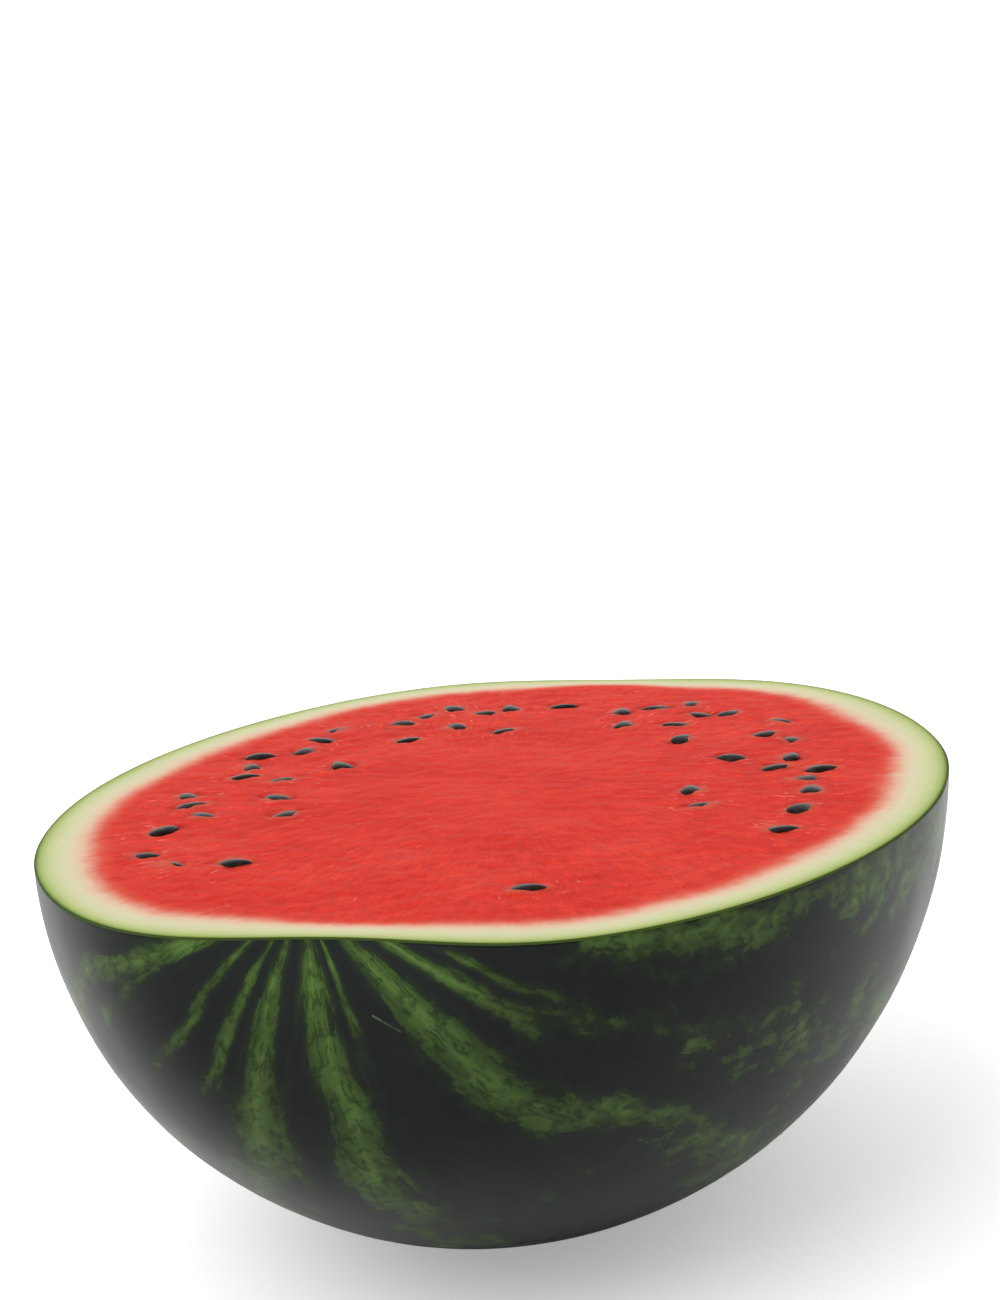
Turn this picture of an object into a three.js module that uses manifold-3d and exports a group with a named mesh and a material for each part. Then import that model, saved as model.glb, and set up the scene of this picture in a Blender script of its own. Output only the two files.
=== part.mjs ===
import * as THREE from 'three';
import { mergeVertices } from 'three/addons/utils/BufferGeometryUtils.js';
import Module from 'manifold-3d';

// Half a watermelon, cut lengthwise and lying on its skin with the cut face up, in millimetres.
// X runs across the fruit, Y along its core with the blossom end at -Y, and Z up.

// The fruit before it was cut: round about its core, with blunt, slightly dimpled ends
const fruitRadius = 130;
const fruitStretch = 1.27;
const endBlunting = 0.108;
const endBluntReach = 0.35;

// The cut passes a little below the core, and the skin is flat where the half lies
const cutDrop = 3.1;
const flatSpotRadius = 28;

// Skin and pale rind together, and the fine gap that keeps rind and flesh apart
const rindThickness = 14;
const rindGap = 0.3;

// A seed is a flat drop that lies in the cut face with its upper part showing
const seedLength = 10;
const seedWidth = 6.4;
const seedThickness = 3;
const seedTaper = 0.38;
const seedSink = 0.4;
const seedTilt = 14;

// Seeds along the near edge of the face: angle round it in degrees from +X, share of the way out, turn
const nearSeeds = [
	[ 217, 0.78, 10 ],
	[ 224, 0.75, -12 ],
	[ 232, 0.65, 15 ],
	[ 293, 0.705, 12 ],
	[ -21.7, 0.753, 20 ],
	[ -12, 0.731, 70 ],
	[ -2.4, 0.716, 95 ],
	[ 4.5, 0.687, 60 ],
	[ 10, 0.72, 15 ],
	[ 13.1, 0.616, 35 ],
	[ 19, 0.651, 80 ],
	[ -14.9, 0.517, 40 ],
	[ -3.9, 0.447, 100 ]
];

// Rows of seeds over the rest of the face, from one angle to another, about a share of the way out
const seedRows = [
	{ from: 27, to: 86, share: 0.7, count: 8 },
	{ from: 94, to: 210, share: 0.7, count: 16 },
	{ from: 20, to: 80, share: 0.52, count: 4 },
	{ from: 100, to: 216, share: 0.51, count: 7 }
];
const rowSpread = 0.11;
const rowWobble = 0.7;

// Facets round the core, from end to end, and on a seed
const roundSegments = 64;
const lengthSteps = 34;
const seedSides = 8;
const seedRings = 6;

const wasm = await Module();
wasm.setup();

// A point of the fruit's outline through its core, as distance from the core and place along it
function outlinePoint( angle ) {

	const fromEnd = Math.acos( Math.min( 1, Math.abs( Math.sin( angle ) ) ) );
	const blunt = 1 - endBlunting * Math.exp( - ( ( fromEnd / endBluntReach ) ** 2 ) );
	return new THREE.Vector2(
		fruitRadius * Math.cos( angle ),
		fruitRadius * fruitStretch * Math.sin( angle ) * blunt
	);

}

// The outline from end to end, moved inwards by an even depth, with both ends on the core
function outline( depth ) {

	const points = [];
	const nudge = 1e-4;
	for ( let i = 0; i <= lengthSteps; i ++ ) {

		const angle = Math.PI * ( i / lengthSteps - 0.5 );
		const along = outlinePoint( angle + nudge ).sub( outlinePoint( angle - nudge ) ).normalize();
		const point = outlinePoint( angle ).add( new THREE.Vector2( - along.y, along.x ).multiplyScalar( depth ) );
		if ( i === 0 || i === lengthSteps ) point.x = 0;
		points.push( point );

	}

	return points;

}

function toSolid( geometry ) {

	geometry.deleteAttribute( 'normal' );
	geometry.deleteAttribute( 'uv' );
	const merged = mergeVertices( geometry, 1e-4 );
	return new wasm.Manifold( new wasm.Mesh( {
		numProp: 3,
		vertProperties: new Float32Array( merged.attributes.position.array ),
		triVerts: new Uint32Array( merged.index.array )
	} ) );

}

// A body of revolution about the core, the given depth under the skin
function fruitSolid( depth ) {

	return toSolid( new THREE.LatheGeometry( outline( depth ), roundSegments ) );

}

// A block from one height to another that is wider than the fruit
function slab( bottom, top ) {

	const reach = 4 * fruitRadius;
	const block = new THREE.BoxGeometry( reach, reach, top - bottom );
	return toSolid( block.translate( 0, 0, ( bottom + top ) / 2 ) );

}

// A flat drop with its narrow end along +X, its middle a little under the cut face
function seedSolid( { x, y, turn, tilt } ) {

	const seed = new THREE.SphereGeometry( 1, seedSides, seedRings );
	seed.rotateZ( - Math.PI / 2 );
	const points = seed.attributes.position;
	for ( let i = 0; i < points.count; i ++ ) {

		const narrowing = 1 - seedTaper * points.getX( i );
		points.setY( i, points.getY( i ) * narrowing );

	}

	seed.scale( seedLength / 2, seedWidth / 2, seedThickness / 2 );
	seed.rotateX( THREE.MathUtils.degToRad( tilt ) );
	seed.rotateZ( THREE.MathUtils.degToRad( turn ) );
	return toSolid( seed.translate( x, y, - cutDrop - seedSink ) );

}

// An even spread of values from 0 to 1: three steps that never fall into a pattern with each other
function spread( index ) {

	return [ 0.8191725, 0.6710436, 0.5497005 ].map( ( step ) => ( ( index + 1 ) * step ) % 1 );

}

function seedAt( degrees, share, turn, tilt ) {

	const point = outlinePoint( THREE.MathUtils.degToRad( degrees ) );
	return { x: share * point.x, y: share * point.y, turn, tilt };

}

function seedPlaces() {

	const places = nearSeeds.map( ( [ degrees, share, turn ], i ) =>
		seedAt( degrees, share, turn, seedTilt * ( 2 * spread( i )[ 0 ] - 1 ) ) );
	for ( const { from, to, share, count } of seedRows ) {

		for ( let i = 0; i < count; i ++ ) {

			const [ first, second, third ] = spread( places.length );
			const step = ( to - from ) / count;
			const degrees = from + step * ( i + 0.5 + rowWobble * ( first - 0.5 ) );
			const tilt = seedTilt * ( 2 * first - 1 );
			places.push( seedAt( degrees, share + rowSpread * ( second - 0.5 ), 180 * third, tilt ) );

		}

	}

	return places;

}

// A mesh whose faces take the second material where they come from one of the marked solids
function toMesh( name, solid, materials, marked = new Set() ) {

	const { vertProperties, triVerts, runIndex, runOriginalID } = solid.getMesh();
	const geometry = new THREE.BufferGeometry();
	geometry.setAttribute( 'position', new THREE.BufferAttribute( vertProperties, 3 ) );
	geometry.setIndex( new THREE.BufferAttribute( triVerts, 1 ) );
	runOriginalID.forEach( ( id, i ) => {

		geometry.addGroup( runIndex[ i ], runIndex[ i + 1 ] - runIndex[ i ], marked.has( id ) ? 1 : 0 );

	} );
	geometry.computeVertexNormals();
	const mesh = new THREE.Mesh( geometry, materials );
	mesh.name = name;
	return mesh;

}

const skinMaterial = new THREE.MeshStandardMaterial( { color: 0x35452c, roughness: 0.38, metalness: 0 } );
const paleRindMaterial = new THREE.MeshStandardMaterial( { color: 0xd7dca5, roughness: 0.5, metalness: 0 } );
const fleshMaterial = new THREE.MeshStandardMaterial( { color: 0xcb3830, roughness: 0.45, metalness: 0 } );
const seedMaterial = new THREE.MeshStandardMaterial( { color: 0x1c1613, roughness: 0.3, metalness: 0 } );

const flatSpotHeight = - Math.sqrt( fruitRadius ** 2 - flatSpotRadius ** 2 );

// Rind: a bowl of even thickness, level at the cut and flat where it lies
function makeRind() {

	const fruit = fruitSolid( 0 );
	const bowl = fruit.intersect( slab( flatSpotHeight, - cutDrop ) ).subtract( fruitSolid( rindThickness ) );
	return toMesh( 'rind', bowl, [ paleRindMaterial, skinMaterial ], new Set( [ fruit.originalID() ] ) );

}

// Flesh: fills the bowl up to the cut face, with the seeds lying in it
function makeFlesh() {

	const core = fruitSolid( rindThickness + rindGap );
	const seeds = seedPlaces().map( seedSolid );
	const cut = core.intersect( slab( - fruitRadius, - cutDrop ) );
	const flesh = seeds.reduce( ( whole, seed ) => whole.add( seed ), cut );
	const seedIds = new Set( seeds.map( ( seed ) => seed.originalID() ) );
	return toMesh( 'flesh', flesh, [ fleshMaterial, seedMaterial ], seedIds );

}

const watermelonHalf = new THREE.Group();
watermelonHalf.add( makeRind(), makeFlesh() );
watermelonHalf.position.z = - flatSpotHeight;

export default watermelonHalf;
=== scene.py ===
import math

import bpy
from mathutils import Matrix, Vector


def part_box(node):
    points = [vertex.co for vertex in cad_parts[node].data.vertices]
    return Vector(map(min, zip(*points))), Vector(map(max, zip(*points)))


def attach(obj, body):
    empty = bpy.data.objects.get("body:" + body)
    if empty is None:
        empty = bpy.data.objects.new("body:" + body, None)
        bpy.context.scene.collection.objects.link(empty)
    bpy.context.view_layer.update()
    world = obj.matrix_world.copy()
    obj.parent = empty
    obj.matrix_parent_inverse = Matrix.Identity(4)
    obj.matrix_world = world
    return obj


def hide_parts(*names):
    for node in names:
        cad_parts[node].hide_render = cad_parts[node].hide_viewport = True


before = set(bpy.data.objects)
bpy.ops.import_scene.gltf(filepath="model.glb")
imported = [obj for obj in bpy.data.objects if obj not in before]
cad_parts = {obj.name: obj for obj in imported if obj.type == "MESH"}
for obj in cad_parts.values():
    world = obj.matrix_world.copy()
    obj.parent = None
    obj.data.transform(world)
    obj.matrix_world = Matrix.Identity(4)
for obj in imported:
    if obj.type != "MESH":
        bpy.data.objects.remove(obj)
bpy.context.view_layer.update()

mm = 0.001
tau = 2 * math.pi
white = (1, 1, 1, 1)
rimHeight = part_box("rind")[1].z    # the level of the cut


def srgb(hexCode):    # sRGB hex to linear RGBA
    parts = [int(hexCode[i:i + 2], 16) / 255 for i in (1, 3, 5)]
    return [c / 12.92 if c <= 0.04045 else ((c + 0.055) / 1.055) ** 2.4 for c in parts] + [1.0]


def addNode(tree, kind, links=None, **settings):    # one node with its settings and what feeds it
    node = tree.nodes.new(kind)
    for name, value in settings.items():
        setattr(node, name, value)
    for socket, source in (links or {}).items():
        if isinstance(source, bpy.types.NodeSocket):
            tree.links.new(source, node.inputs[socket])
        else:
            node.inputs[socket].default_value = source
    return node


def setRamp(node, stops):    # (place, colour) pairs on a Color Ramp, a colour being a hex value or a grey
    ramp = node.color_ramp
    while len(ramp.elements) < len(stops):
        ramp.elements.new(0.5)
    for element, (place, colour) in zip(ramp.elements, stops):
        element.position = place
        element.color = srgb(colour) if isinstance(colour, str) else (colour, colour, colour, 1)


def newMaterial(name):    # a node material and its empty tree
    material = bpy.data.materials.new(name)
    material.use_nodes = True
    material.node_tree.nodes.clear()
    return material, material.node_tree


def newShape(name, inputs):    # an empty geometry tree with named inputs: socket type and value
    tree = bpy.data.node_groups.new(name, "GeometryNodeTree")
    tree.interface.new_socket("Geometry", in_out="INPUT", socket_type="NodeSocketGeometry")
    tree.interface.new_socket("Geometry", in_out="OUTPUT", socket_type="NodeSocketGeometry")
    values = {}
    for label, (kind, value) in inputs.items():
        socket = tree.interface.new_socket(label, in_out="INPUT", socket_type="NodeSocket" + kind)
        values[socket.identifier] = value
    return tree, addNode(tree, "NodeGroupInput").outputs, values


def bakeShape(name, mesh, tree, values):    # runs the tree on a mesh and keeps the result as a plain mesh
    piece = bpy.data.objects.new(name, mesh)
    bpy.context.collection.objects.link(piece)
    modifier = piece.modifiers.new("shape", "NODES")
    modifier.node_group = tree
    for identifier, value in values.items():
        modifier[identifier] = value
    graph = bpy.context.evaluated_depsgraph_get()
    made = bpy.data.meshes.new_from_object(piece.evaluated_get(graph), depsgraph=graph)
    piece.modifiers.clear()
    piece.data = made
    made.name = name
    print(name, len(made.vertices), "points", len(made.polygons), "faces")
    return piece


# The fruit: round about its core along Y, with blunt, slightly dimpled ends, cut just below the core
melon = {
    "radius": 130 * mm, "stretch": 1.27, "blunting": 0.108, "bluntReach": 0.35,
    "farBlunting": 0.095, "farBluntReach": 0.42,    # the far end is flat rather than dimpled
    "cutDrop": 3.1 * mm, "cutEdge": 0.45 * mm, "footRadius": 28 * mm,
    "around": 512, "faceRings": 128, "skinRings": 44, "footRings": 3,
    "faceCrowding": 1.35, "skinCrowding": 1.5,    # rings crowd towards the cut edge
    "weld": 0.004 * mm,
}
coreHeight = rimHeight + melon["cutDrop"]


def outlinePoint(degrees):    # on the fruit's outline in the plane of its core
    angle = math.radians(degrees)
    fromEnd = math.acos(min(1, abs(math.sin(angle))))
    blunt = 1 - melon["blunting"] * math.exp(-(fromEnd / melon["bluntReach"]) ** 2)
    length = melon["radius"] * melon["stretch"]
    return Vector((melon["radius"] * math.cos(angle), length * math.sin(angle) * blunt, 0))


# Camera: where the photograph was taken from, the fruit low in an upright frame
view = {
    "place": (204.4 * mm, -691.0 * mm, 175.4 * mm),    # from the middle of the fruit's core
    "heading": 16.32, "down": 10.82, "roll": -3.95,
    "lens": 69.23, "sensor": 36.0,
}


def makeCamera():
    camera = bpy.data.objects.new("camera", bpy.data.cameras.new("camera"))
    camera.data.lens = view["lens"]
    camera.data.sensor_width = view["sensor"]
    turn = Matrix.Rotation(math.radians(view["heading"]), 4, "Z")
    tip = Matrix.Rotation(math.radians(90 - view["down"]), 4, "X")
    roll = Matrix.Rotation(math.radians(view["roll"]), 4, "Z")
    place = Vector((0, 0, coreHeight)) + Vector(view["place"])
    camera.matrix_world = Matrix.Translation(place) @ turn @ tip @ roll
    bpy.context.collection.objects.link(camera)
    bpy.context.scene.camera = camera
    print("camera at", [round(c, 4) for c in place])


makeCamera()

# Seeds: flat drops lying in the cut face, in rows round the heart of the fruit
seed = {
    "length": 10 * mm, "width": 6.4 * mm, "thickness": 3 * mm, "taper": 0.38,
    "sink": 0.4 * mm, "tilt": 14,
    "near": (    # angle round the face in degrees from +X, share of the way out, turn, more sink in mm
        (217, 0.78, 10, 0.85), (224, 0.75, -12, 0.8), (232, 0.65, 15, 0.15), (293, 0.705, 12, 0.0),
        (-21.7, 0.753, 20, 0.3), (-12, 0.731, 70, 0.1), (-2.4, 0.716, 95, 0.0), (4.5, 0.687, 60, 0.6),
        (10, 0.72, 15, 0.1), (13.1, 0.616, 35, 0.5), (19, 0.651, 80, 0.3), (-14.9, 0.517, 40, 0.6),
        (-3.9, 0.447, 100, 0.1),
    ),
    "rows": (    # from and to in degrees, share of the way out, count
        (27, 86, 0.7, 8), (94, 210, 0.7, 16), (20, 80, 0.52, 4), (100, 216, 0.51, 7),
    ),
    "rowSpread": 0.11, "rowWobble": 0.7, "rowSink": 0.75,    # share of the way out, of a step, and mm
    "spreadSteps": (0.8191725, 0.6710436, 0.5497005),
    "segments": 28, "rings": 16,
    "mottleSize": 1.6 * mm, "mottle": ((0.35, "#120d0b"), (0.55, "#1f1613"), (0.75, "#3a2a22")),
    "grainSize": 0.5 * mm, "grainDepth": 0.1 * mm,
}


def spread(index):    # three even spreads from 0 to 1 that don't fall into step
    return [(index + 1) * step % 1 for step in seed["spreadSteps"]]


def seedPlaces():    # place, turn and tilt of each seed, some of them half buried
    lies = []
    for degrees, share, turn, deeper in seed["near"]:
        lies.append((degrees, share, turn, spread(len(lies))[0], deeper))
    for start, end, share, count in seed["rows"]:
        for i in range(count):
            first, second, third = spread(len(lies))
            degrees = start + (end - start) / count * (i + 0.5 + seed["rowWobble"] * (first - 0.5))
            outwards = share + seed["rowSpread"] * (second - 0.5)
            deeper = seed["rowSink"] * ((first + second) % 1)
            lies.append((degrees, outwards, 180 * third, first, deeper))
    places = []
    for degrees, share, turn, lean, deeper in lies:
        place = outlinePoint(degrees) * share
        place.z = rimHeight - seed["sink"] - deeper * mm
        places.append((place, turn, seed["tilt"] * (2 * lean - 1)))
    return places


def makeSeedCoat():    # ripe seed coat: thin, hard and brown-black, wet with juice, so small sharp lights
    material, tree = newMaterial("ripe wet seed coat")
    place = addNode(tree, "ShaderNodeTexCoord").outputs["Object"]
    mottle = addNode(tree, "ShaderNodeTexNoise", {
        "Vector": place, "Scale": 1 / seed["mottleSize"], "Detail": 3})
    coat = addNode(tree, "ShaderNodeValToRGB", {"Fac": mottle.outputs["Fac"]})
    setRamp(coat, seed["mottle"])
    grain = addNode(tree, "ShaderNodeTexNoise", {
        "Vector": place, "Scale": 1 / seed["grainSize"], "Detail": 2})
    bump = addNode(tree, "ShaderNodeBump", {
        "Height": grain.outputs["Fac"], "Strength": 0.25, "Distance": seed["grainDepth"]})
    shader = addNode(tree, "ShaderNodeBsdfPrincipled", {
        "Base Color": coat.outputs[0], "Normal": bump.outputs[0],
        "Roughness": 0.27, "IOR": 1.48, "Specular IOR Level": 0.08})
    addNode(tree, "ShaderNodeOutputMaterial", {"Surface": shader.outputs[0]})
    return material


def makeSeeds():
    places = seedPlaces()
    points = bpy.data.meshes.new("seedPoints")
    points.from_pydata([place for place, turn, tilt in places], [], [])
    turns = points.attributes.new("seedTurn", "FLOAT_VECTOR", "POINT")
    for i, (place, turn, tilt) in enumerate(places):
        turns.data[i].vector = (math.radians(tilt), 0, math.radians(turn))
    tree, given, values = newShape("seedShape", {
        "Length": ("Float", seed["length"]), "Width": ("Float", seed["width"]),
        "Thickness": ("Float", seed["thickness"]), "Taper": ("Float", seed["taper"]),
        "Coat": ("Material", makeSeedCoat()),
    })
    ball = addNode(tree, "GeometryNodeMeshUVSphere", {
        "Segments": seed["segments"], "Rings": seed["rings"], "Radius": 1.0})
    lying = addNode(tree, "GeometryNodeTransform", {0: ball.outputs[0], "Rotation": (0, math.pi / 2, 0)})
    here = addNode(tree, "GeometryNodeInputPosition").outputs[0]
    axis = addNode(tree, "ShaderNodeSeparateXYZ", {0: here}).outputs
    known = {"x": axis[0], "y": axis[1], "z": axis[2],
             **{socket.name: socket for socket in given if socket.type == "VALUE"}}
    for name, operation, *terms in (
        ("taken", "MULTIPLY", "x", "Taper"),
        ("narrowing", "SUBTRACT", 1, "taken"),
        ("narrow", "MULTIPLY", "y", "narrowing"),
        ("halfLength", "MULTIPLY", "Length", 0.5),
        ("halfWidth", "MULTIPLY", "Width", 0.5),
        ("halfThick", "MULTIPLY", "Thickness", 0.5),
        ("long", "MULTIPLY", "x", "halfLength"),
        ("wide", "MULTIPLY", "narrow", "halfWidth"),
        ("thick", "MULTIPLY", "z", "halfThick"),
    ):
        sources = {i: known.get(term, term) for i, term in enumerate(terms)}
        known[name] = addNode(tree, "ShaderNodeMath", sources, operation=operation, label=name).outputs[0]
    drop = addNode(tree, "ShaderNodeCombineXYZ", {0: known["long"], 1: known["wide"], 2: known["thick"]})
    shaped = addNode(tree, "GeometryNodeSetPosition", {
        "Geometry": lying.outputs[0], "Position": drop.outputs[0]})
    turn = addNode(tree, "GeometryNodeInputNamedAttribute", {"Name": "seedTurn"}, data_type="FLOAT_VECTOR")
    sown = addNode(tree, "GeometryNodeInstanceOnPoints", {
        "Points": given["Geometry"], "Instance": shaped.outputs[0], "Rotation": turn.outputs[0]})
    real = addNode(tree, "GeometryNodeRealizeInstances", {0: sown.outputs[0]})
    smooth = addNode(tree, "GeometryNodeSetShadeSmooth", {0: real.outputs[0]})
    coated = addNode(tree, "GeometryNodeSetMaterial", {0: smooth.outputs[0], "Material": given["Coat"]})
    addNode(tree, "NodeGroupOutput", {0: coated.outputs[0]})
    return bakeShape("seeds", points, tree, values)


seeds = makeSeeds()

# Stripes of the skin run from end to end. Each zone gives its angle from the near end, how patchy the
# stripes are there, and the stripes: angle about the core from straight down, half width, strength
stripe = {
    "poleShift": (-9 * mm, 9 * mm),    # the stripes run together here, off the core's end in X and Z
    "poleReach": 147 * mm,
    "span": 110,    # degrees to each side that a zone's ramp covers
    "zones": (
        (9, 0.1, ((-90, 5, 0.9), (-65, 5, 1), (-46, 2, 1), (-31.5, 2.3, 0.95), (-18.5, 4.2, 1), (4, 5.8, 1),
                  (19.5, 1.95, 0.95), (42, 6, 1), (60, 3, 1))),
        (19, 0.3, ((-90, 5, 0.8), (-66, 3.8, 0.95), (-43.5, 1.7, 0.9), (-30, 2.4, 0.92), (-15.5, 4.8, 1),
                   (8.5, 5.2, 1), (43.8, 5.2, 1), (60, 2.8, 1), (68.2, 1.3, 0.9))),
        (29, 0.5, ((-90, 5, 0.8), (-69, 2.5, 0.7), (-59, 2.3, 0.65), (-16.5, 6, 0.92), (8, 5.5, 0.9),
                   (43.5, 5, 1), (64, 2.4, 0.52), (80, 4, 0.95))),
        (33, 0.58, ((-90, 5, 0.8), (-65, 3.2, 0.7), (-18.5, 6, 0.8), (7.5, 5.2, 0.75), (47.5, 3.2, 1),
                    (65, 2.4, 0.52), (80.5, 4, 0.88))),
        (38, 0.65, ((-90, 5, 0.8), (-62, 4, 0.7), (-36, 2.5, 0.5), (-20, 5.4, 0.62), (7, 5, 0.58),
                    (50.5, 2, 0.92), (66.5, 2.6, 0.52), (81, 4, 0.78))),
        (48, 0.95, ((-90, 5, 0.8), (-64, 5, 0.85), (-37, 3, 0.7), (-17, 5.5, 0.62), (8, 4.5, 0.55),
                    (46.5, 4, 0.75), (63, 3, 0.6), (82, 4, 0.5))),
        (64, 1.2, ((-88, 5, 0.85), (-62, 5.5, 0.9), (-37, 4.5, 0.75), (-14, 5, 0.9), (11, 5, 0.75),
                   (41, 5.5, 0.9), (64, 4.5, 0.7), (85, 5, 0.64))),
    ),
    "waver": 7, "zoneWander": 16,    # degrees that the stripes and the zones' borders stray
    "lengthwise": 0.62,    # patches and flakes are drawn out along the core by this squeeze
    "streaks": (0.3, 0.11), "cells": (0.44, 0.37),    # how many to a degree, round the core and along it
    "cellBend": 1.6,    # how crooked the cells are
    "patch": 2.2, "flake": 0.9, "leastFlake": 0.12, "scale": 0.45, "cell": 0.3,    # how far each frays
    "streak": 0.8, "streakUpTo": 0.75,    # streaks show where the stripes aren't patchier than this
    "colours": ((0.0, "#141918"), (0.16, "#171d1a"), (0.34, "#1b2619"), (0.44, "#223117"),
                (0.49, "#31441d"), (0.64, "#394f20"), (0.82, "#435c27"), (1.0, "#516c31")),
    "seam": "#6a7460",
}
skin = {
    "scratch": (    # its two ends, from the middle of the core
        (7.5 * mm, -148.9 * mm, -22.0 * mm), (14.5 * mm, -149.3 * mm, -25.7 * mm)),
    "scratchFray": 0.5 * mm, "scratchColour": "#7e8a72",
    "scar": 4 * mm, "scarColour": "#6a5a3e",    # dry scar where the stalk came off, at the far end
    "poreDepth": 0.15 * mm,
}


def skinAngles(tree, place):    # the angle about the core and the angle from the near end, in degrees
    axis = addNode(tree, "ShaderNodeSeparateXYZ", {0: place}).outputs
    known = {"x": axis[0], "y": axis[1], "z": axis[2]}
    shiftX, shiftZ = stripe["poleShift"]
    for name, operation, *terms in (
        ("end", "DIVIDE", "y", -stripe["poleReach"]),
        ("shiftX", "MULTIPLY", "end", shiftX),
        ("shiftZ", "MULTIPLY", "end", shiftZ),
        ("fromCore", "SUBTRACT", coreHeight, "z"),
        ("side", "SUBTRACT", "x", "shiftX"),
        ("below", "ADD", "fromCore", "shiftZ"),
        ("around", "ARCTAN2", "side", "below"),
        ("degrees", "DEGREES", "around"),
        ("sideSquare", "MULTIPLY", "side", "side"),
        ("belowSquare", "MULTIPLY", "below", "below"),
        ("outSquare", "ADD", "sideSquare", "belowSquare"),
        ("out", "SQRT", "outSquare"),
        ("back", "MULTIPLY", "y", -1),
        ("fromNear", "ARCTAN2", "out", "back"),
        ("along", "DEGREES", "fromNear"),
        ("farEnd", "GREATER_THAN", "y", 0),
    ):
        sources = {i: known.get(term, term) for i, term in enumerate(terms)}
        known[name] = addNode(tree, "ShaderNodeMath", sources, operation=operation, label=name).outputs[0]
    return known


def addSkinNoises(tree, place, known):    # what frays the stripes, and the cells and seams within them
    angles = addNode(tree, "ShaderNodeCombineXYZ", {0: known["degrees"], 1: known["along"]}).outputs[0]
    grids = {}
    for name in ("streaks", "cells"):
        grids[name] = addNode(tree, "ShaderNodeVectorMath", {
            0: angles, 1: (*stripe[name], 0)}, operation="MULTIPLY", label=name).outputs[0]
    lengthwise = addNode(tree, "ShaderNodeMapping", {
        "Vector": place, "Scale": (1, stripe["lengthwise"], 1)}).outputs[0]
    for name, vector, size, detail, roughness in (
        ("waver", place, 24 * mm, 2, 0.5),
        ("patch", lengthwise, 13 * mm, 4, 0.62),
        ("flake", lengthwise, 4.5 * mm, 4, 0.62),
        ("streak", grids["streaks"], 1, 3, 0.6),
        ("gap", place, 3.2 * mm, 3, 0.55),
        ("tone", place, 38 * mm, 3, 0.5),
        ("pore", place, 1.1 * mm, 2, 0.5),    # coarser than real pores, so that they show
    ):
        noise = addNode(tree, "ShaderNodeTexNoise", {
            "Vector": vector, "Scale": 1 / size, "Detail": detail, "Roughness": roughness}, label=name)
        known[name] = noise.outputs["Fac"]
    bend = stripe["cellBend"]
    crooked = addNode(tree, "ShaderNodeVectorMath", {    # the drawn-out cells are a little crooked
        0: known["flake"], 1: (bend, bend, 0), 2: grids["cells"]}, operation="MULTIPLY_ADD").outputs[0]
    for name, vector, size, feature, output, dimensions in (
        ("scale", lengthwise, 3.6 * mm, "F1", "Color", "3D"),    # small jagged cells
        ("cell", crooked, 1, "F1", "Color", "2D"),
        ("seam", crooked, 1, "DISTANCE_TO_EDGE", "Distance", "2D"),
    ):
        cells = addNode(tree, "ShaderNodeTexVoronoi", {"Vector": vector, "Scale": 1 / size},
                        voronoi_dimensions=dimensions, feature=feature, label=name)
        known[name] = cells.outputs[output]


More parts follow.
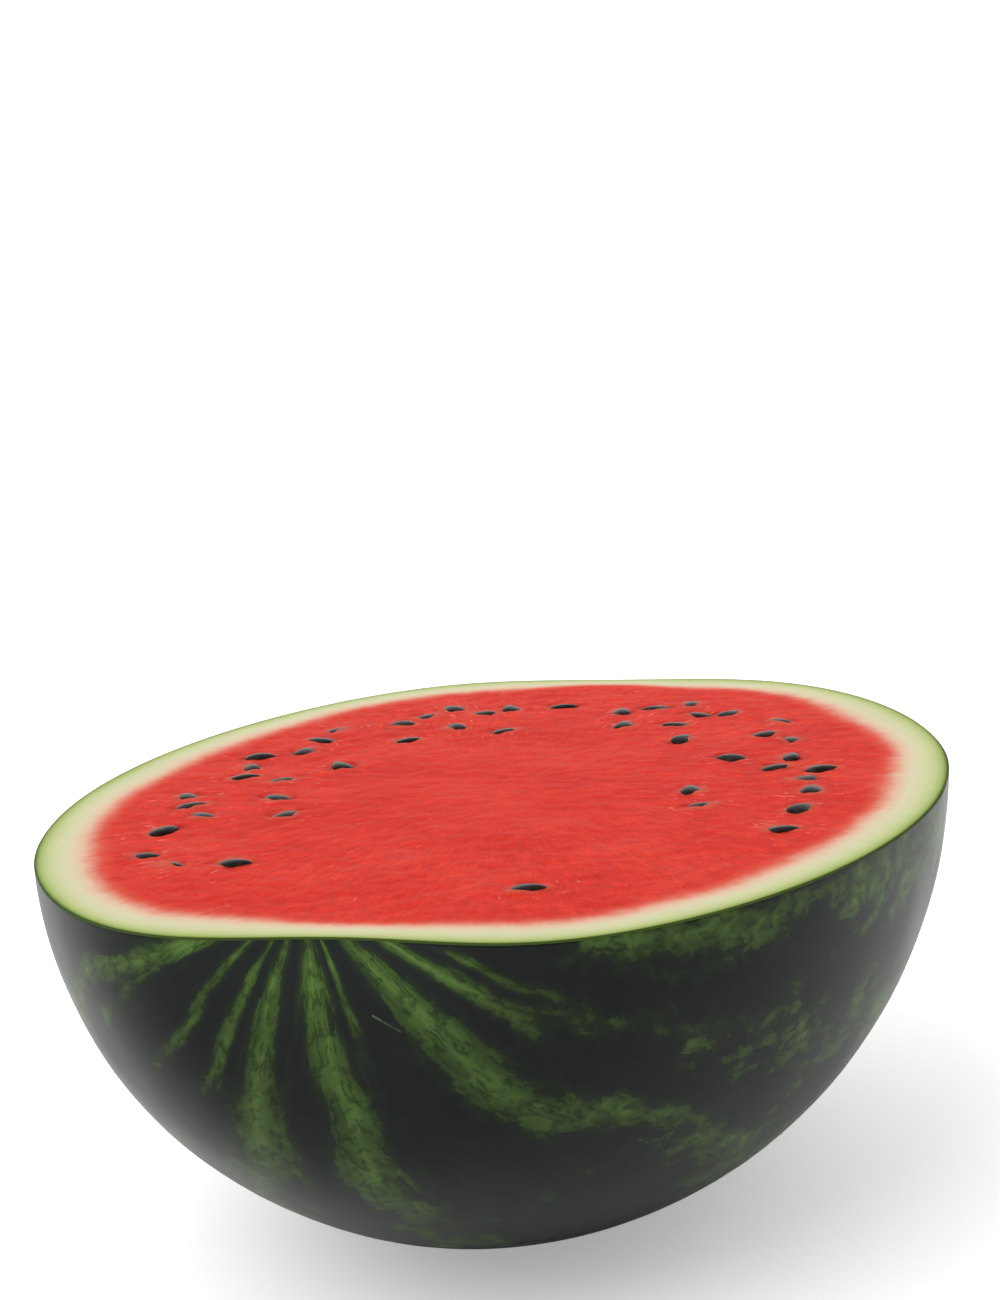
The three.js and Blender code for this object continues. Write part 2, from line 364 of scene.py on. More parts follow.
def addStripes(tree, known):    # how much of a stripe there is, with ragged edges
    for name, operation, *terms in (
        ("waverSide", "SUBTRACT", "waver", 0.5),
        ("waverTurn", "MULTIPLY", "waverSide", stripe["waver"]),
        ("wavered", "ADD", "degrees", "waverTurn"),
        ("fromLeft", "ADD", "wavered", stripe["span"]),
        ("ramp", "DIVIDE", "fromLeft", 2 * stripe["span"]),
        ("patchSide", "SUBTRACT", "patch", 0.5),
        ("zoneShift", "MULTIPLY", "patchSide", stripe["zoneWander"]),
        ("zone", "ADD", "along", "zoneShift"),
    ):
        sources = {i: known.get(term, term) for i, term in enumerate(terms)}
        known[name] = addNode(tree, "ShaderNodeMath", sources, operation=operation, label=name).outputs[0]
    strength, patchy, before = 0.0, 0.0, 0
    for angle, patchiness, bands in stripe["zones"]:    # each zone's stripes, blended into the next zone's
        stops = []
        for middle, half, peak in bands:
            for turn, level in ((middle - 2 * half, 0.0), (middle, peak), (middle + 2 * half, 0.0)):
                stops.append(((turn + stripe["span"]) / (2 * stripe["span"]), level))
        bandRamp = addNode(tree, "ShaderNodeValToRGB", {"Fac": known["ramp"]}, label=f"stripes at {angle}")
        setRamp(bandRamp, stops)
        share = addNode(tree, "ShaderNodeMapRange", {
            "Value": known["zone"], "From Min": before, "From Max": angle}).outputs[0]
        strength = addNode(tree, "ShaderNodeMix", {
            "Factor": share, 2: strength, 3: bandRamp.outputs[0]}).outputs[0]
        patchy = addNode(tree, "ShaderNodeMix", {"Factor": share, 2: patchy, 3: patchiness}).outputs[0]
        before = angle
    known.update(strength=strength, patchy=patchy)
    for name, operation, *terms in (
        ("patchHere", "MULTIPLY", "patchSide", "patchy"),
        ("patchWide", "MULTIPLY", "patchHere", stripe["patch"]),
        ("flakeSide", "SUBTRACT", "flake", 0.5),
        ("flakiness", "ADD", "patchy", stripe["leastFlake"]),
        ("flakeAll", "MULTIPLY", "flakeSide", "flakiness"),
        ("flakeHere", "MULTIPLY", "flakeAll", stripe["flake"]),
        ("scaleSide", "SUBTRACT", "scale", 0.5),
        ("scaleHere", "MULTIPLY", "scaleSide", "patchy"),
        ("scaleWide", "MULTIPLY", "scaleHere", stripe["scale"]),
        ("cellSide", "SUBTRACT", "cell", 0.5),
        ("cellHere", "MULTIPLY", "cellSide", stripe["cell"]),
        ("streakSide", "SUBTRACT", "streak", 0.5),
        ("streakHere", "MULTIPLY", "streakSide", stripe["streak"]),
        ("smoothness", "SUBTRACT", stripe["streakUpTo"], "patchy"),
        ("smoothHere", "MAXIMUM", "smoothness", 0),
        ("streaked", "MULTIPLY", "streakHere", "smoothHere"),
        ("withPatches", "ADD", "strength", "patchWide"),
        ("withFlakes", "ADD", "withPatches", "flakeHere"),
        ("withScales", "ADD", "withFlakes", "scaleWide"),
        ("withCells", "ADD", "withScales", "cellHere"),
        ("ragged", "ADD", "withCells", "streaked"),
    ):
        sources = {i: known.get(term, term) for i, term in enumerate(terms)}
        known[name] = addNode(tree, "ShaderNodeMath", sources, operation=operation, label=name).outputs[0]


def addScratch(tree, place, known):    # distance from a short straight scratch in the skin, a little frayed
    start, end = [Vector(point) + Vector((0, 0, coreHeight)) for point in skin["scratch"]]
    reach = end - start
    fromStart = addNode(tree, "ShaderNodeVectorMath", {0: place, 1: start}, operation="SUBTRACT").outputs[0]
    run = addNode(tree, "ShaderNodeVectorMath", {
        0: fromStart, 1: reach / reach.length_squared}, operation="DOT_PRODUCT").outputs["Value"]
    onLine = addNode(tree, "ShaderNodeMath", {0: run, 1: 0}, operation="ADD", use_clamp=True).outputs[0]
    nearest = addNode(tree, "ShaderNodeVectorMath", {
        0: reach, "Scale": onLine}, operation="SCALE").outputs[0]
    away = addNode(tree, "ShaderNodeVectorMath", {
        0: fromStart, 1: nearest}, operation="DISTANCE").outputs["Value"]
    known["scratchEdge"] = addNode(tree, "ShaderNodeMath", {
        0: known["pore"], 1: skin["scratchFray"], 2: away}, operation="MULTIPLY_ADD").outputs[0]


def makeSkin():    # waxy melon skin: smooth with a dull bloom, dark green, with ragged lighter stripes
    material, tree = newMaterial("waxy striped melon skin")
    place = addNode(tree, "ShaderNodeTexCoord").outputs["Object"]
    known = skinAngles(tree, place)
    addSkinNoises(tree, place, known)
    addStripes(tree, known)
    addScratch(tree, place, known)
    for name, value, fromMin, fromMax, toMin, toMax in (
        ("onStripe", "ragged", 0.36, 0.56, 0, 0.66),
        ("broken", "gap", 0.43, 0.58, 0, "onStripe"),
        ("seamHere", "seam", 0.3, 0.05, 0, "broken"),    # dark broken seams between the cells
        ("fresh", "along", 9, 19, 1.3, 0.85),    # painted shade: lighter green at the near end, darker further down the skin
        ("toneHere", "tone", 0.3, 0.7, 0.82, 1.14),
        ("scratchHere", "scratchEdge", 0.62 * mm, 0.3 * mm, 0, 0.36),
        ("scarHere", "out", 1.5 * skin["scar"], skin["scar"], 0, "farEnd"),
        ("dull", "tone", 0.3, 0.7, 0.24, 0.33),
    ):
        known[name] = addNode(tree, "ShaderNodeMapRange", {
            "Value": known[value], "From Min": fromMin, "From Max": fromMax,
            "To Min": toMin, "To Max": known.get(toMax, toMax)}, label=name).outputs[0]
    green = addNode(tree, "ShaderNodeValToRGB", {"Fac": known["ragged"]})
    setRamp(green, stripe["colours"])
    colour = green.outputs[0]
    for share, tint, blend in (
        (known["seamHere"], srgb(stripe["seam"]), "MULTIPLY"),
        # painted shade along the skin: lighter at the near end, darker further down
        (1.0, known["fresh"], "MULTIPLY"),
        (1.0, known["toneHere"], "MULTIPLY"),
        (known["scratchHere"], srgb(skin["scratchColour"]), "MIX"),
        (known["scarHere"], srgb(skin["scarColour"]), "MIX"),
    ):
        colour = addNode(tree, "ShaderNodeMix", {"Factor": share, 6: colour, 7: tint},
                         data_type="RGBA", blend_type=blend).outputs[2]
    bump = addNode(tree, "ShaderNodeBump", {
        "Height": known["pore"], "Strength": 0.12, "Distance": skin["poreDepth"]})
    shader = addNode(tree, "ShaderNodeBsdfPrincipled", {
        "Base Color": colour, "Roughness": known["dull"], "Normal": bump.outputs[0],
        "IOR": 1.42, "Specular IOR Level": 0.2})
    addNode(tree, "ShaderNodeOutputMaterial", {"Surface": shader.outputs[0]})
    return material


# Cut face: pale rind under the skin, then red flesh. Places are depths under the skin in millimetres
cutFace = {
    "thickness": 14.0, "ripening": (-0.5, 8.0),    # red sets in from just before the rind's end to past it
    "ramp": 26.0,    # depth at the end of the rind's colours
    "rind": ((0.0, "#3f4f24"), (0.4, "#74893e"), (1.2, "#9aaa60"), (2.8, "#b3bb81"), (5.5, "#c4c699"),
             (9.0, "#cfc5a2"), (11.8, "#d6b295"), (14.2, "#d48772"), (16.5, "#d15c4a"), (20.0, "#cb3628")),
    "fuzz": 2.0, "blot": 3.4, "fuzzFrom": 12,    # how far rind and flesh fray, in full from that depth
    "evenness": 0.94, "sway": 0.5,    # shares: the rind is thicker here and thinner there
    "pinch": 0.6, "pinchReach": 20 * mm,    # and thin at both ends of the core
    "red": ((0.3, "#bf241b"), (0.5, "#ca2d20"), (0.7, "#d13b2d")),
    "pulp": ((0.3, "#b31a15"), (0.5, "#ca2d20"), (0.72, "#da4e3f")), "pulpShare": 0.4,
    "fibreRound": 90 * mm, "fibreSqueeze": 0.34,    # fibres are as fine all over as they are that far out
    "fibreFrom": 60 * mm,    # and fade from there to the heart
    "fibreTone": 0.6, "grainTone": 0.5, "grainDepth": 0.25 * mm, "fibreDepth": 0.4 * mm,
    # the dark red beside the seeds is painted shade for the hollows they sit in
    "fleck": "#e88472", "hollowShade": "#9c1812", "halo": "#b8604c",
    "lightReach": 3 * mm, "lightColours": (1.0, 0.35, 0.2),    # red light goes deepest into the flesh
}


def fleshFibres(tree, place):    # fibres run outwards: the way out is squeezed, the way round is kept
    roundFace = addNode(tree, "ShaderNodeVectorMath", {
        0: place, 1: (1, 1 / melon["stretch"], 0)}, operation="MULTIPLY").outputs[0]
    wayOut = addNode(tree, "ShaderNodeVectorMath", {0: roundFace}, operation="NORMALIZE").outputs[0]
    farOut = addNode(tree, "ShaderNodeVectorMath", {0: roundFace}, operation="LENGTH").outputs["Value"]
    rounded = addNode(tree, "ShaderNodeVectorMath", {
        0: wayOut, "Scale": cutFace["fibreRound"]}, operation="SCALE").outputs[0]
    squeezed = addNode(tree, "ShaderNodeMath", {
        0: farOut, 1: cutFace["fibreSqueeze"]}, operation="MULTIPLY").outputs[0]
    climb = addNode(tree, "ShaderNodeCombineXYZ", {2: squeezed}).outputs[0]
    fibres = addNode(tree, "ShaderNodeVectorMath", {0: rounded, 1: climb}, operation="ADD").outputs[0]
    return fibres, farOut


def makeCutFlesh():    # fresh-cut melon flesh: watery cells, so soft inside light and a moist, broken shine
    material, tree = newMaterial("fresh-cut melon flesh")
    place = addNode(tree, "ShaderNodeTexCoord").outputs["Object"]
    fibres, farOut = fleshFibres(tree, place)
    known = {"x": addNode(tree, "ShaderNodeSeparateXYZ", {0: place}).outputs[0], "farOut": farOut}
    for name in ("skinDepth", "seedNear"):
        known[name] = addNode(tree, "ShaderNodeAttribute", attribute_name=name).outputs["Fac"]
    for name, vector, size, detail, roughness in (
        ("sway", place, 60 * mm, 1, 0.5),
        ("fuzz", fibres, 2.2 * mm, 3, 0.6),
        ("blot", place, 7 * mm, 4, 0.6),
        ("cloud", place, 26 * mm, 3, 0.5),
        ("pulp", place, 5 * mm, 4, 0.6),
        ("fibre", fibres, 1.8 * mm, 3, 0.6),
        ("fleck", fibres, 1.5 * mm, 2, 0.5),
        ("grain", place, 1.1 * mm, 3, 0.6),
    ):
        noise = addNode(tree, "ShaderNodeTexNoise", {
            "Vector": vector, "Scale": 1 / size, "Detail": detail, "Roughness": roughness}, label=name)
        known[name] = noise.outputs["Fac"]
    for name, operation, *terms in (
        ("depthMm", "DIVIDE", "skinDepth", mm),
        ("seedMm", "DIVIDE", "seedNear", mm),
        ("fuzzSide", "SUBTRACT", "fuzz", 0.5),
        ("fuzzMm", "MULTIPLY", "fuzzSide", cutFace["fuzz"]),
        ("blotSide", "SUBTRACT", "blot", 0.5),
        ("blotMm", "MULTIPLY", "blotSide", cutFace["blot"]),
        ("fuzzBoth", "ADD", "fuzzMm", "blotMm"),
        ("fuzzShare", "DIVIDE", "depthMm", cutFace["fuzzFrom"]),
        ("fuzzFade", "MINIMUM", "fuzzShare", 1),
        ("fuzzHere", "MULTIPLY", "fuzzBoth", "fuzzFade"),
        ("swaySide", "SUBTRACT", "sway", 0.5),
        ("swayShare", "MULTIPLY", "swaySide", cutFace["sway"]),
        ("swayed", "ADD", cutFace["evenness"], "swayShare"),
        ("offCore", "DIVIDE", "x", cutFace["pinchReach"]),
        ("offCoreSquare", "MULTIPLY", "offCore", "offCore"),
        ("offCoreDown", "MULTIPLY", "offCoreSquare", -1),
        ("atEnd", "EXPONENT", "offCoreDown"),
        ("pinch", "MULTIPLY", "atEnd", cutFace["pinch"]),
        ("stretch", "ADD", "swayed", "pinch"),
        ("depthHere", "MULTIPLY", "depthMm", "stretch"),
        ("ragged", "ADD", "depthHere", "fuzzHere"),
        ("rampPlace", "DIVIDE", "ragged", cutFace["ramp"]),
        ("fibreFar", "DIVIDE", "farOut", cutFace["fibreFrom"]),
        ("fibreFade", "MINIMUM", "fibreFar", 1),
        ("fibreSide", "SUBTRACT", "fibre", 0.5),
        ("fibreHere", "MULTIPLY", "fibreSide", "fibreFade"),
        ("fibreTone", "MULTIPLY", "fibreHere", cutFace["fibreTone"]),
        ("fibreLight", "ADD", 1, "fibreTone"),
        ("grainSide", "SUBTRACT", "grain", 0.5),
        ("grainTone", "MULTIPLY", "grainSide", cutFace["grainTone"]),
        ("fleshLight", "ADD", "fibreLight", "grainTone"),
    ):
        sources = {i: known.get(term, term) for i, term in enumerate(terms)}
        known[name] = addNode(tree, "ShaderNodeMath", sources, operation=operation, label=name).outputs[0]
    before, after = [cutFace["thickness"] + step for step in cutFace["ripening"]]
    for name, value, fromMin, fromMax, toMin, toMax, easing in (
        ("fleckEdge", "seedMm", 1.0, 14.0, 0.62, 0.72, "LINEAR"),    # pale flecks gather round the seeds
        ("hollowShadeMost", "blot", 0.53, 0.38, 0, 0.7, "LINEAR"),
        ("hollowShadeHere", "seedMm", 4.5, 0.6, 0, "hollowShadeMost", "LINEAR"),    # painted shade: darker red in the hollow beside a seed
        ("haloMost", "blot", 0.4, 0.62, 0.08, 0.6, "LINEAR"),
        ("haloHere", "seedMm", 2.6, 0.3, 0, "haloMost", "LINEAR"),    # pale in places along a seed's edge
        ("ripe", "ragged", before, after, 0, 1, "SMOOTHSTEP"),
        ("moist", "pulp", 0.3, 0.7, 0.38, 0.6, "LINEAR"),
    ):
        known[name] = addNode(tree, "ShaderNodeMapRange", {
            "Value": known[value], "From Min": fromMin, "From Max": fromMax, "To Min": toMin,
            "To Max": known.get(toMax, toMax)}, interpolation_type=easing, label=name).outputs[0]
    fleckOver = addNode(tree, "ShaderNodeMath", {
        0: known["fleck"], 1: known["fleckEdge"]}, operation="SUBTRACT").outputs[0]
    fleckHere = addNode(tree, "ShaderNodeMapRange", {
        "Value": fleckOver, "From Max": 0.07, "To Max": 0.5}).outputs[0]
    colours = {}
    for name, value, stops in (
        ("rind", "rampPlace", [(depth / cutFace["ramp"], colour) for depth, colour in cutFace["rind"]]),
        ("red", "cloud", cutFace["red"]),
        ("pulp", "pulp", cutFace["pulp"]),
    ):
        ramp = addNode(tree, "ShaderNodeValToRGB", {"Fac": known[value]}, label=name)
        setRamp(ramp, stops)
        colours[name] = ramp.outputs[0]
    colour = colours["red"]
    for share, tint, blend in (
        (cutFace["pulpShare"], colours["pulp"], "MIX"),
        (1.0, known["fleshLight"], "MULTIPLY"),
        (fleckHere, srgb(cutFace["fleck"]), "MIX"),
        # painted shade in the hollows beside the seeds
        (known["hollowShadeHere"], srgb(cutFace["hollowShade"]), "MIX"),
        (known["haloHere"], srgb(cutFace["halo"]), "MIX"),
    ):
        colour = addNode(tree, "ShaderNodeMix", {"Factor": share, 6: colour, 7: tint},
                         data_type="RGBA", blend_type=blend).outputs[2]
    face = addNode(tree, "ShaderNodeMix", {
        "Factor": known["ripe"], 6: colours["rind"], 7: colour}, data_type="RGBA").outputs[2]
    grainy = addNode(tree, "ShaderNodeBump", {
        "Height": known["grain"], "Strength": 0.4, "Distance": cutFace["grainDepth"]}).outputs[0]
    stringy = addNode(tree, "ShaderNodeBump", {
        "Height": known["fibreHere"], "Strength": 0.2, "Distance": cutFace["fibreDepth"], "Normal": grainy})
    shader = addNode(tree, "ShaderNodeBsdfPrincipled", {
        "Base Color": face, "Roughness": known["moist"], "Normal": stringy.outputs[0],
        "IOR": 1.35, "Specular IOR Level": 0.02, "Subsurface Weight": 0.2,
        "Subsurface Radius": cutFace["lightColours"], "Subsurface Scale": cutFace["lightReach"]})
    addNode(tree, "ShaderNodeOutputMaterial", {"Surface": shader.outputs[0]})
    return material


# Relief: a slightly wavy cut, lumpy pulp, lips and hollows at the seeds, and a skin that isn't quite even
relief = {
    "wave": 0.5 * mm, "waveSize": 42 * mm, "pulp": 0.55 * mm, "pulpSize": 6.5 * mm,
    "lip": 1.35 * mm, "lipReach": 2.8 * mm, "lipSize": 7 * mm, "lipMiddle": 0.52,
    "skin": 0.7 * mm, "skinSize": 55 * mm,
    "skinStop": 6, "skinFade": 12,    # rings above the foot where that ends, and over which it fades
    "edgeFade": (0.3 * mm, 6 * mm), "fleshFade": (11 * mm, 20 * mm), "seedGap": 0.2 * mm,
}


def ringPlaces(tree, given):    # rings go out over the cut face, down the skin and in under the foot
    faceRings, skinRings, footRings = melon["faceRings"], melon["skinRings"], melon["footRings"]
    here = addNode(tree, "GeometryNodeInputPosition").outputs[0]
    flat = addNode(tree, "ShaderNodeSeparateXYZ", {0: here}).outputs
    known = {"u": flat[0], "v": flat[1],
             **{socket.name: socket for socket in given if socket.type == "VALUE"}}
    for name, operation, *terms in (
        ("across", "SUBTRACT", 0.5, "u"),    # this way round, faces point outwards
        ("turn", "MULTIPLY", "across", tau),
        ("cosTurn", "COSINE", "turn"),
        ("sinTurn", "SINE", "turn"),
        ("along", "ADD", "v", 0.5),
        ("ringRaw", "MULTIPLY", "along", faceRings + skinRings + footRings - 1),
        ("ring", "ROUND", "ringRaw"),
        ("onSkin", "GREATER_THAN", "ring", faceRings - 0.5),
        # over the cut face, from its middle out
        ("faceRaw", "DIVIDE", "ring", faceRings - 1),
        ("faceWay", "MINIMUM", "faceRaw", 1),
        ("fromEdge", "SUBTRACT", 1, "faceWay"),
        ("crowded", "POWER", "fromEdge", melon["faceCrowding"]),
        ("faceShare", "SUBTRACT", 1, "crowded"),
        ("edgeLeft", "SUBTRACT", 1, "Edge Turn"),
        ("faceOut", "MULTIPLY", "faceShare", "edgeLeft"),
        ("stepOut", "SUBTRACT", 1, "faceOut"),
        ("stepHere", "MULTIPLY", "stepOut", "onSkin"),
        ("out", "ADD", "faceOut", "stepHere"),
        # down the skin
        ("skinFirst", "SUBTRACT", "ring", faceRings),
        ("skinRaw", "DIVIDE", "skinFirst", skinRings - 1),
        ("skinMost", "MINIMUM", "skinRaw", 1),
        ("skinWay", "MAXIMUM", "skinMost", 0),
        ("skinEased", "POWER", "skinWay", melon["skinCrowding"]),
        ("skinStart", "ADD", "Cut Turn", "Edge Turn"),
        ("skinSpan", "SUBTRACT", "Foot Turn", "skinStart"),
        ("skinTurn", "MULTIPLY", "skinEased", "skinSpan"),
        ("belowEdge", "ADD", "skinTurn", "Edge Turn"),
        ("belowCut", "MULTIPLY", "belowEdge", "onSkin"),
        ("dip", "ADD", "belowCut", "Cut Turn"),
        # in under the foot
        ("footFirst", "SUBTRACT", "ring", faceRings + skinRings - 1),
        ("footRaw", "DIVIDE", "footFirst", footRings),
        ("footWay", "MAXIMUM", "footRaw", 0),
        ("footLeft", "SUBTRACT", 1, "footWay"),
        ("scale", "MULTIPLY", "out", "footLeft"),
        # the place on the fruit
        ("cosDip", "COSINE", "dip"),
        ("sinDip", "SINE", "dip"),
        ("sideways", "MULTIPLY", "cosTurn", "cosDip"),
        ("lengthways", "MULTIPLY", "sinTurn", "cosDip"),
        ("isFar", "GREATER_THAN", "lengthways", 0),
        ("moreBlunt", "SUBTRACT", "Far Blunting", "Near Blunting"),
        ("endBlunt", "MULTIPLY_ADD", "isFar", "moreBlunt", "Near Blunting"),
        ("moreReach", "SUBTRACT", "Far Reach", "Near Reach"),
        ("endReach", "MULTIPLY_ADD", "isFar", "moreReach", "Near Reach"),
        ("endness", "ABSOLUTE", "lengthways"),
        ("endnessCapped", "MINIMUM", "endness", 1),
        ("fromEnd", "ARCCOSINE", "endnessCapped"),
        ("endRatio", "DIVIDE", "fromEnd", "endReach"),
        ("endSquare", "MULTIPLY", "endRatio", "endRatio"),
        ("endDown", "MULTIPLY", "endSquare", -1),
        ("endNear", "EXPONENT", "endDown"),
        ("bluntLoss", "MULTIPLY", "endNear", "endBlunt"),
        ("blunt", "SUBTRACT", 1, "bluntLoss"),
        ("halfLength", "MULTIPLY", "Radius", "Stretch"),
        ("wide", "MULTIPLY", "Radius", "scale"),
        ("long", "MULTIPLY", "halfLength", "scale"),
        ("x", "MULTIPLY", "sideways", "wide"),
        ("bluntLong", "MULTIPLY", "long", "blunt"),
        ("y", "MULTIPLY", "lengthways", "bluntLong"),
        ("drop", "MULTIPLY", "sinDip", "Radius"),
        ("z", "SUBTRACT", "Core Height", "drop"),
    ):
        sources = {i: known.get(term, term) for i, term in enumerate(terms)}
        known[name] = addNode(tree, "ShaderNodeMath", sources, operation=operation, label=name).outputs[0]
    place = addNode(tree, "ShaderNodeCombineXYZ", {0: known["x"], 1: known["y"], 2: known["z"]}).outputs[0]
    return known["ring"], place


def reliefOffset(tree, ring, onSkin, toSkin, toSeed):    # up or down on the cut face, in or out on the skin
    known = {"ring": ring, "onSkin": onSkin}
    for name, detail in (("wave", 1), ("pulp", 3), ("lip", 1), ("skin", 1)):
        noise = addNode(tree, "ShaderNodeTexNoise", {"Scale": 1 / relief[name + "Size"], "Detail": detail})
        known[name] = noise.outputs["Fac"]
    for name, distance, (start, end) in (
        ("offEdge", toSkin, relief["edgeFade"]),
        ("inFlesh", toSkin, relief["fleshFade"]),
        ("bySeed", toSeed, (relief["lipReach"], relief["seedGap"])),
    ):
        known[name] = addNode(tree, "ShaderNodeMapRange", {
            "Value": distance, "From Min": start, "From Max": end},
            interpolation_type="SMOOTHSTEP", label=name).outputs[0]
    lastRing = melon["faceRings"] + melon["skinRings"] - relief["skinStop"]
    for name, operation, *terms in (
        ("waveSide", "SUBTRACT", "wave", 0.5),
        ("waveHigh", "MULTIPLY", "waveSide", 2 * relief["wave"]),
        ("waved", "MULTIPLY", "waveHigh", "offEdge"),
        ("pulpSide", "SUBTRACT", "pulp", 0.5),
        ("pulpHigh", "MULTIPLY", "pulpSide", 2 * relief["pulp"]),
        ("lumpy", "MULTIPLY", "pulpHigh", "inFlesh"),
        ("lipSide", "SUBTRACT", "lip", relief["lipMiddle"]),
        ("lipHigh", "MULTIPLY", "lipSide", 2 * relief["lip"]),
        ("lipHere", "MULTIPLY", "lipHigh", "bySeed"),
        ("rolled", "ADD", "waved", "lumpy"),
        ("pitted", "ADD", "rolled", "lipHere"),
        ("notSkin", "SUBTRACT", 1, "onSkin"),
        ("lift", "MULTIPLY", "pitted", "notSkin"),
        ("skinSide", "SUBTRACT", "skin", 0.5),
        ("skinHigh", "MULTIPLY", "skinSide", 2 * relief["skin"]),
        ("ringsLeft", "SUBTRACT", lastRing, "ring"),
        ("ringsShare", "DIVIDE", "ringsLeft", relief["skinFade"]),
        ("ringsMost", "MINIMUM", "ringsShare", 1),
        ("ringsFade", "MAXIMUM", "ringsMost", 0),
        ("skinHere", "MULTIPLY", "skinHigh", "ringsFade"),
        ("swell", "MULTIPLY", "skinHere", "onSkin"),
    ):
        sources = {i: known.get(term, term) for i, term in enumerate(terms)}
        known[name] = addNode(tree, "ShaderNodeMath", sources, operation=operation, label=name).outputs[0]
    up = addNode(tree, "ShaderNodeCombineXYZ", {2: known["lift"]}).outputs[0]
    normal = addNode(tree, "GeometryNodeInputNormal").outputs[0]
    outwards = addNode(tree, "ShaderNodeVectorMath", {
        0: normal, "Scale": known["swell"]}, operation="SCALE").outputs[0]
    return addNode(tree, "ShaderNodeVectorMath", {0: up, 1: outwards}, operation="ADD").outputs[0]


def makeMelonHalf():    # one closed body of rings, with flesh on the cut face and skin below its edge
    tree, given, values = newShape("melonHalfShape", {
        "Radius": ("Float", melon["radius"]), "Stretch": ("Float", melon["stretch"]),
        "Near Blunting": ("Float", melon["blunting"]), "Near Reach": ("Float", melon["bluntReach"]),
        "Far Blunting": ("Float", melon["farBlunting"]), "Far Reach": ("Float", melon["farBluntReach"]),
        "Core Height": ("Float", coreHeight),
        "Cut Turn": ("Float", math.asin(melon["cutDrop"] / melon["radius"])),
        "Edge Turn": ("Float", melon["cutEdge"] / melon["radius"]),
        "Foot Turn": ("Float", math.acos(melon["footRadius"] / melon["radius"])),
        "Seeds": ("Object", seeds), "Skin": ("Material", makeSkin()), "Flesh": ("Material", makeCutFlesh()),
    })
    faceRings = melon["faceRings"]
    grid = addNode(tree, "GeometryNodeMeshGrid", {
        "Size X": 1.0, "Size Y": 1.0, "Vertices X": melon["around"] + 1,
        "Vertices Y": faceRings + melon["skinRings"] + melon["footRings"]})
    ringHere, place = ringPlaces(tree, given)
    ringed = addNode(tree, "GeometryNodeStoreNamedAttribute", {
        "Geometry": grid.outputs[0], "Name": "ring", "Value": ringHere}, data_type="FLOAT", domain="POINT")
    body = addNode(tree, "GeometryNodeSetPosition", {"Geometry": ringed.outputs[0], "Position": place})
    closed = addNode(tree, "GeometryNodeMergeByDistance", {0: body.outputs[0], "Distance": melon["weld"]})
    ring = addNode(tree, "GeometryNodeInputNamedAttribute", {"Name": "ring"}, data_type="FLOAT").outputs[0]
    chosen = {}    # a face's ring is its corners' mean, so faces round the cut edge are half a ring short
    for name, short in (("skinAndEdge", 0.75), ("skinPoints", 0.5), ("skinFaces", 0.25)):
        chosen[name] = addNode(tree, "ShaderNodeMath", {
            0: ring, 1: faceRings - short}, operation="GREATER_THAN", label=name).outputs[0]
    edgeFaces = addNode(tree, "ShaderNodeMath", {
        0: ring, 1: faceRings - 0.5, 2: 0.2}, operation="COMPARE").outputs[0]    # within 0.2 of a ring
    skinOnly = addNode(tree, "GeometryNodeSeparateGeometry", {
        0: closed.outputs[0], 1: chosen["skinAndEdge"]}, domain="FACE")
    sown = addNode(tree, "GeometryNodeObjectInfo", {"Object": given["Seeds"]}, transform_space="RELATIVE")
    shape, away = closed.outputs[0], {}
    for name, target in (("skinDepth", skinOnly.outputs[0]), ("seedNear", sown.outputs["Geometry"])):
        reach = addNode(tree, "GeometryNodeProximity", {0: target}, target_element="FACES")
        away[name] = reach.outputs["Distance"]
        kept = addNode(tree, "GeometryNodeStoreNamedAttribute", {
            "Geometry": shape, "Name": name, "Value": away[name]}, data_type="FLOAT", domain="POINT")
        shape = kept.outputs[0]
    offset = reliefOffset(tree, ring, chosen["skinPoints"], away["skinDepth"], away["seedNear"])
    raised = addNode(tree, "GeometryNodeSetPosition", {"Geometry": shape, "Offset": offset})
    smooth = addNode(tree, "GeometryNodeSetShadeSmooth", {0: raised.outputs[0]})
    crisp = addNode(tree, "GeometryNodeSetShadeSmooth", {    # the cut edge stays crisp
        0: smooth.outputs[0], "Selection": edgeFaces, "Shade Smooth": False})
    real = addNode(tree, "GeometryNodeRealizeInstances", {0: crisp.outputs[0]})
    fleshed = addNode(tree, "GeometryNodeSetMaterial", {0: real.outputs[0], "Material": given["Flesh"]})
    skinned = addNode(tree, "GeometryNodeSetMaterial", {
        0: fleshed.outputs[0], "Selection": chosen["skinFaces"], "Material": given["Skin"]})
    addNode(tree, "NodeGroupOutput", {0: skinned.outputs[0]})
    return bakeShape("melonHalf", bpy.data.meshes.new("melonHalfStart"), tree, values)


melonHalf = makeMelonHalf()

# Studio: a white sweep under a broad soft light, darker on the camera's side
studio = {
    "floorRadius": 40.0, "floorSides": 96, "floor": "#f6f6f5", "floorGlow": 0.36,
    "top": 0.84, "topFade": (0.3, 0.8), "around": 1.42, "front": 0.05, "frontFade": (-0.3, 0.6),
    "towardsCamera": (0.283, -0.959, 0),
    "key": {"from": (-0.45, -0.75, 1.0), "strength": 1.4, "angle": 50},
}


def makeFloorSheet():    # opal acrylic light table: matt white and lit from under, so faint shadows
    material, tree = newMaterial("opal acrylic light table")
    seen = addNode(tree, "ShaderNodeLightPath").outputs["Is Camera Ray"]
    glow = addNode(tree, "ShaderNodeMath", {0: seen, 1: studio["floorGlow"]}, operation="MULTIPLY")
    shader = addNode(tree, "ShaderNodeBsdfPrincipled", {
        "Base Color": srgb(studio["floor"]), "Roughness": 0.9, "Specular IOR Level": 0.02,
        "Emission Color": white, "Emission Strength": glow.outputs[0]})
    addNode(tree, "ShaderNodeOutputMaterial", {"Surface": shader.outputs[0]})
    return material


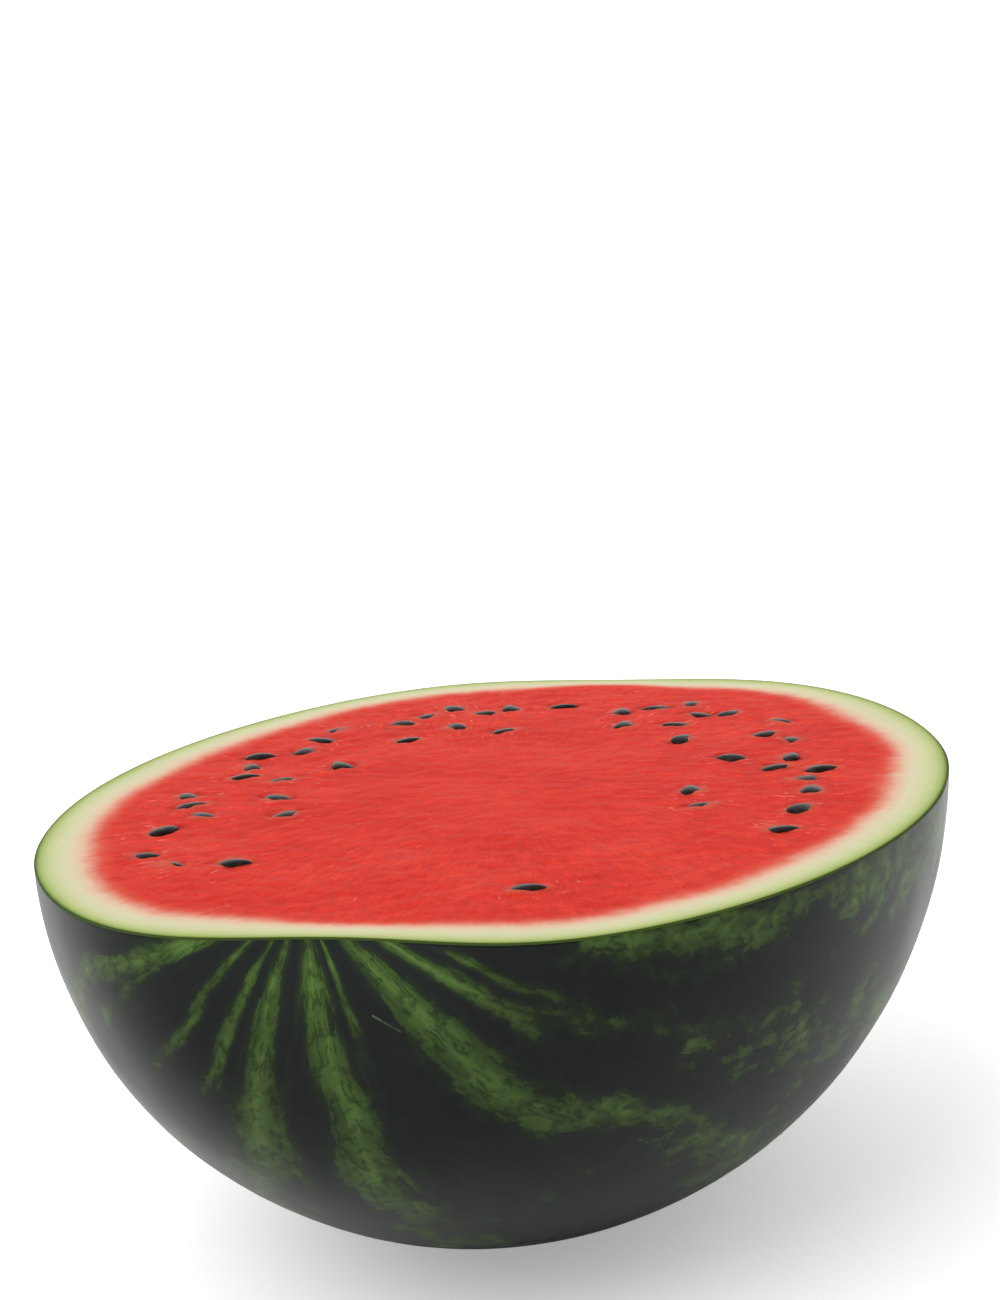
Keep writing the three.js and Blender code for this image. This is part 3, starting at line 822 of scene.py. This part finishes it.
def makeFloor():
    mesh = bpy.data.meshes.new("floor")
    sides, radius = studio["floorSides"], studio["floorRadius"]
    turns = [tau * i / sides for i in range(sides)]
    corners = [(radius * math.cos(turn), radius * math.sin(turn), 0) for turn in turns]
    mesh.from_pydata(corners, [], [range(sides)])
    mesh.materials.append(makeFloorSheet())
    floor = bpy.data.objects.new("floor", mesh)
    bpy.context.collection.objects.link(floor)


def makeLights():
    world = bpy.data.worlds.new("studio")
    bpy.context.scene.world = world
    world.use_nodes = True
    tree = world.node_tree
    tree.nodes.clear()
    way = addNode(tree, "ShaderNodeTexCoord").outputs["Generated"]
    height = addNode(tree, "ShaderNodeSeparateXYZ", {0: way}).outputs[2]
    front = addNode(tree, "ShaderNodeVectorMath", {
        0: way, 1: studio["towardsCamera"]}, operation="DOT_PRODUCT").outputs["Value"]
    levels = []
    for value, (start, end), low, high in (
        (front, studio["frontFade"], studio["around"], studio["front"]),
        (height, studio["topFade"], 0.0, 1.0),
    ):
        levels.append(addNode(tree, "ShaderNodeMapRange", {
            "Value": value, "From Min": start, "From Max": end, "To Min": low, "To Max": high},
            interpolation_type="SMOOTHSTEP").outputs[0])
    sides, overhead = levels
    soft = addNode(tree, "ShaderNodeMix", {"Factor": overhead, 2: sides, 3: studio["top"]}).outputs[0]
    seen = addNode(tree, "ShaderNodeLightPath").outputs["Is Camera Ray"]
    level = addNode(tree, "ShaderNodeMix", {"Factor": seen, 2: soft, 3: 1.0}).outputs[0]
    light = addNode(tree, "ShaderNodeBackground", {"Color": white, "Strength": level})
    addNode(tree, "ShaderNodeOutputWorld", {0: light.outputs[0]})
    data = bpy.data.lights.new("key", "SUN")
    data.energy = studio["key"]["strength"]
    data.angle = math.radians(studio["key"]["angle"])
    key = bpy.data.objects.new("key", data)
    key.matrix_world = Vector(studio["key"]["from"]).to_track_quat("Z", "Y").to_matrix().to_4x4()
    bpy.context.collection.objects.link(key)


makeFloor()
makeLights()
bpy.context.scene.view_settings.view_transform = "Standard"
print("studio ready")

for piece, slotName in ((melonHalf, "rind"), (seeds, "seed")):
    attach(piece, "root")
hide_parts("rind", "flesh")
